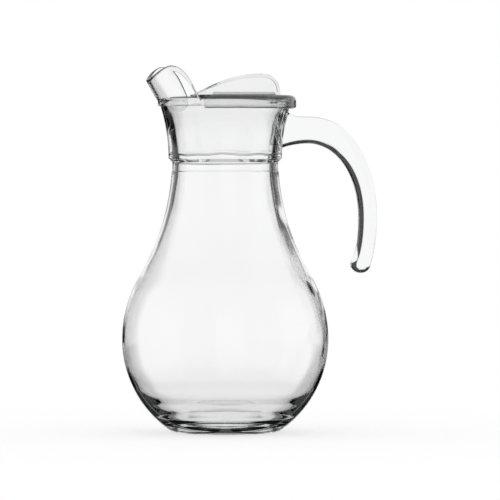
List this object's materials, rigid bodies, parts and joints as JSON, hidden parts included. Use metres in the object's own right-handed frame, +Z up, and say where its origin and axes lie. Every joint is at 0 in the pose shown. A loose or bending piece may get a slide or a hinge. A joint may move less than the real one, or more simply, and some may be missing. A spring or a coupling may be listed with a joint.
{
  "type": "lidded glass jug",
  "caption": "Round-bellied clear glass jug with a raised pouring spout, an open hook handle and a push-on plastic lid with a fin grip.",
  "frame": {"origin": "centre of the standing ring under the foot, on the jug's axis", "axes": "+Z up along the jug's axis, +X towards the handle, -X towards the spout, +Y across"},
  "size_m": [0.1794, 0.1448, 0.2564],
  "materials": {
    "clear_glass": "polished",
    "smoke_plastic": "satin"
  },
  "bodies": {
    "jug": {"glass_jug": "clear_glass", "handle": "clear_glass"},
    "lid": {"lid": "smoke_plastic"}
  },
  "joints": [
    {"name": "lid_lift", "type": "slide", "parent": "jug", "child": "lid", "axis": [0, 0, 1], "range_m": [0, 0.06]}
  ]
}
